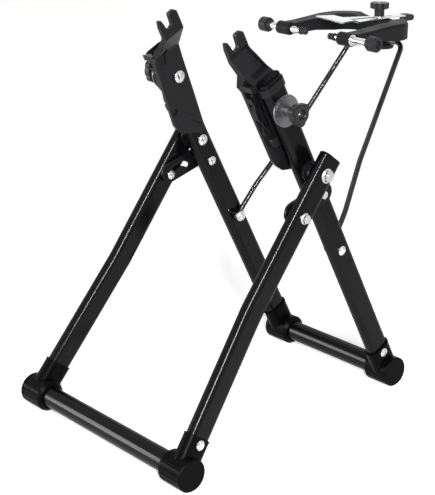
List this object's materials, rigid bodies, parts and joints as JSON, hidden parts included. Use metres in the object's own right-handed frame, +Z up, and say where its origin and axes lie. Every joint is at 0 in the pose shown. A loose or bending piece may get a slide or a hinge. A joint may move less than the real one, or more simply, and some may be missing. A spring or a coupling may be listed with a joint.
{
  "type": "bicycle wheel truing stand",
  "caption": "Folding bench stand that holds a bicycle wheel by its axle, with a caliper of screw feelers and a sliding steel gauge for checking the rim's runout and height.",
  "frame": {"origin": "on the floor under the middle of the stand's bounding box", "axes": "+Z up, +X to the right seen from the front legs' side, +Y towards the caliper"},
  "size_m": [0.329, 0.55, 0.5227],
  "materials": {
    "tube_paint": "satin black powder coat",
    "rod_paint": "gloss black",
    "foot_plastic": "moulded black plastic",
    "stay_paint": "satin black",
    "dropout_plastic": "moulded black plastic with a fine grain",
    "knob_plastic": "moulded black plastic",
    "head_plastic": "moulded dark grey plastic",
    "chrome": "bright plated steel",
    "plain_steel": "brushed steel sheet",
    "tip_rubber": "black rubber"
  },
  "bodies": {
    "rear_frame": {"rear_tube_left": "tube_paint", "rear_tube_right": "tube_paint", "rear_base_bar": "tube_paint", "rear_foot_left": "foot_plastic", "rear_foot_right": "foot_plastic", "rear_foot_screws": "chrome", "rear_tube_plugs": "foot_plastic", "fold_bolts": "chrome", "fold_spacers": "dropout_plastic", "stay_bolts": "chrome", "stay_spacers": "plain_steel", "arm_bolts": "chrome", "arm_nuts": "chrome", "arm_washers": "plain_steel"},
    "front_frame": {"front_leg_left": "tube_paint", "front_leg_right": "tube_paint", "front_base_bar": "tube_paint", "front_foot_left": "foot_plastic", "front_foot_right": "foot_plastic", "front_foot_screws": "chrome", "front_leg_plugs": "foot_plastic", "slot_screws": "chrome", "slot_nuts": "chrome", "fold_nuts": "chrome"},
    "stay_left": {"stay_plate_left": "stay_paint"},
    "stay_right": {"stay_plate_right": "stay_paint"},
    "dropout_left": {"dropout_left": "dropout_plastic", "dropout_bolt_left": "chrome", "clamp_disc_left": "plain_steel"},
    "dropout_right": {"dropout_right": "dropout_plastic", "dropout_bolt_right": "chrome", "clamp_disc_right": "plain_steel"},
    "wing_knob_left": {"wing_knob_left": "knob_plastic", "wing_insert_left": "plain_steel"},
    "wing_knob_right": {"wing_knob_right": "knob_plastic", "wing_insert_right": "plain_steel"},
    "gauge_arm": {"gauge_rod": "rod_paint"},
    "caliper_head": {"caliper_housing": "head_plastic", "boss_inserts": "chrome", "under_saddle": "head_plastic", "tilt_screw": "chrome", "gauge_bolt": "chrome"},
    "tilt_disc": {"tilt_disc": "knob_plastic"},
    "gauge_knob": {"gauge_knob": "knob_plastic"},
    "gauge_guide": {"gauge_guide": "plain_steel"},
    "gauge_plate": {"gauge_plate": "plain_steel", "gauge_pull": "knob_plastic"},
    "feeler_tip_left": {"tip_pin_left": "chrome", "tip_cap_left": "tip_rubber"},
    "feeler_tip_right": {"tip_pin_right": "chrome", "tip_cap_right": "tip_rubber"},
    "feeler_screw_left": {"feeler_screw_left": "chrome", "screw_knob_left": "knob_plastic", "screw_ring_left": "knob_plastic"},
    "feeler_screw_right": {"feeler_screw_right": "chrome", "screw_knob_right": "knob_plastic", "screw_ring_right": "knob_plastic"}
  },
  "joints": [
    {"name": "fold", "type": "hinge", "parent": "rear_frame", "child": "front_frame", "pos_m": [0, -0.01762, 0.3363], "axis": [1, 0, 0], "range_deg": [0, 55]},
    {"name": "stay_left_swing", "type": "hinge", "parent": "rear_frame", "child": "stay_left", "pos_m": [0, -0.00069, 0.30442], "axis": [1, 0, 0], "range_deg": [0, 77.3]},
    {"name": "stay_right_swing", "type": "hinge", "parent": "rear_frame", "child": "stay_right", "pos_m": [0, -0.00069, 0.30442], "axis": [1, 0, 0], "range_deg": [0, 77.3]},
    {"name": "dropout_left_slide", "type": "slide", "parent": "rear_frame", "child": "dropout_left", "axis": [0, -0.4691, 0.8831], "range_m": [-0.0025, 0.003]},
    {"name": "dropout_right_slide", "type": "slide", "parent": "rear_frame", "child": "dropout_right", "axis": [0, -0.4691, 0.8831], "range_m": [-0.003, 0.0163]},
    {"name": "wing_knob_left_turn", "type": "hinge", "parent": "dropout_left", "child": "wing_knob_left", "pos_m": [-0.12185, -0.06772, 0.43062], "axis": [-1, 0, 0], "continuous": true},
    {"name": "wing_knob_right_turn", "type": "hinge", "parent": "dropout_right", "child": "wing_knob_right", "pos_m": [0.12185, -0.06148, 0.41887], "axis": [1, 0, 0], "continuous": true},
    {"name": "arm_lean", "type": "hinge", "parent": "rear_frame", "child": "gauge_arm", "pos_m": [0, 0.04491, 0.21858], "axis": [-1, 0, 0], "range_deg": [-25, 45]},
    {"name": "head_tilt", "type": "hinge", "parent": "gauge_arm", "child": "caliper_head", "pos_m": [0, 0.21973, 0.45744], "axis": [1, 0, 0], "range_deg": [-25, 25]},
    {"name": "tilt_disc_turn", "type": "hinge", "parent": "caliper_head", "child": "tilt_disc", "pos_m": [0, 0.22643, 0.44744], "axis": [0, 0, 1], "continuous": true},
    {"name": "gauge_knob_turn", "type": "hinge", "parent": "caliper_head", "child": "gauge_knob", "pos_m": [0, 0.21973, 0.49984], "axis": [0, 0, 1], "continuous": true},
    {"name": "gauge_swing", "type": "hinge", "parent": "caliper_head", "child": "gauge_guide", "pos_m": [0, 0.21973, 0.48584], "axis": [0, 0, 1], "range_deg": [-5, 27]},
    {"name": "gauge_slide", "type": "slide", "parent": "gauge_guide", "child": "gauge_plate", "axis": [-0.1908, -0.9816, 0], "range_m": [-0.015, 0.012]},
    {"name": "tip_left_slide", "type": "slide", "parent": "caliper_head", "child": "feeler_tip_left", "axis": [1, 0, 0], "range_m": [-0.0175, 0.008]},
    {"name": "screw_left_turn", "type": "hinge", "parent": "feeler_tip_left", "child": "feeler_screw_left", "pos_m": [-0.0935, 0.09643, 0.47894], "axis": [1, 0, 0], "range_deg": [-4201, 1921]},
    {"name": "tip_right_slide", "type": "slide", "parent": "caliper_head", "child": "feeler_tip_right", "axis": [-1, 0, 0], "range_m": [-0.0075, 0.018]},
    {"name": "screw_right_turn", "type": "hinge", "parent": "feeler_tip_right", "child": "feeler_screw_right", "pos_m": [0.1035, 0.09643, 0.47894], "axis": [-1, 0, 0], "range_deg": [-1801, 4321]}
  ],
  "couplings": [
    {"joint": "stay_left_swing", "follows": "fold", "ratio": 1.4018},
    {"joint": "stay_right_swing", "follows": "fold", "ratio": 1.4018},
    {"joint": "screw_left_turn", "follows": "tip_left_slide", "rad_per_m": 4188.8},
    {"joint": "screw_right_turn", "follows": "tip_right_slide", "rad_per_m": 4188.8}
  ]
}
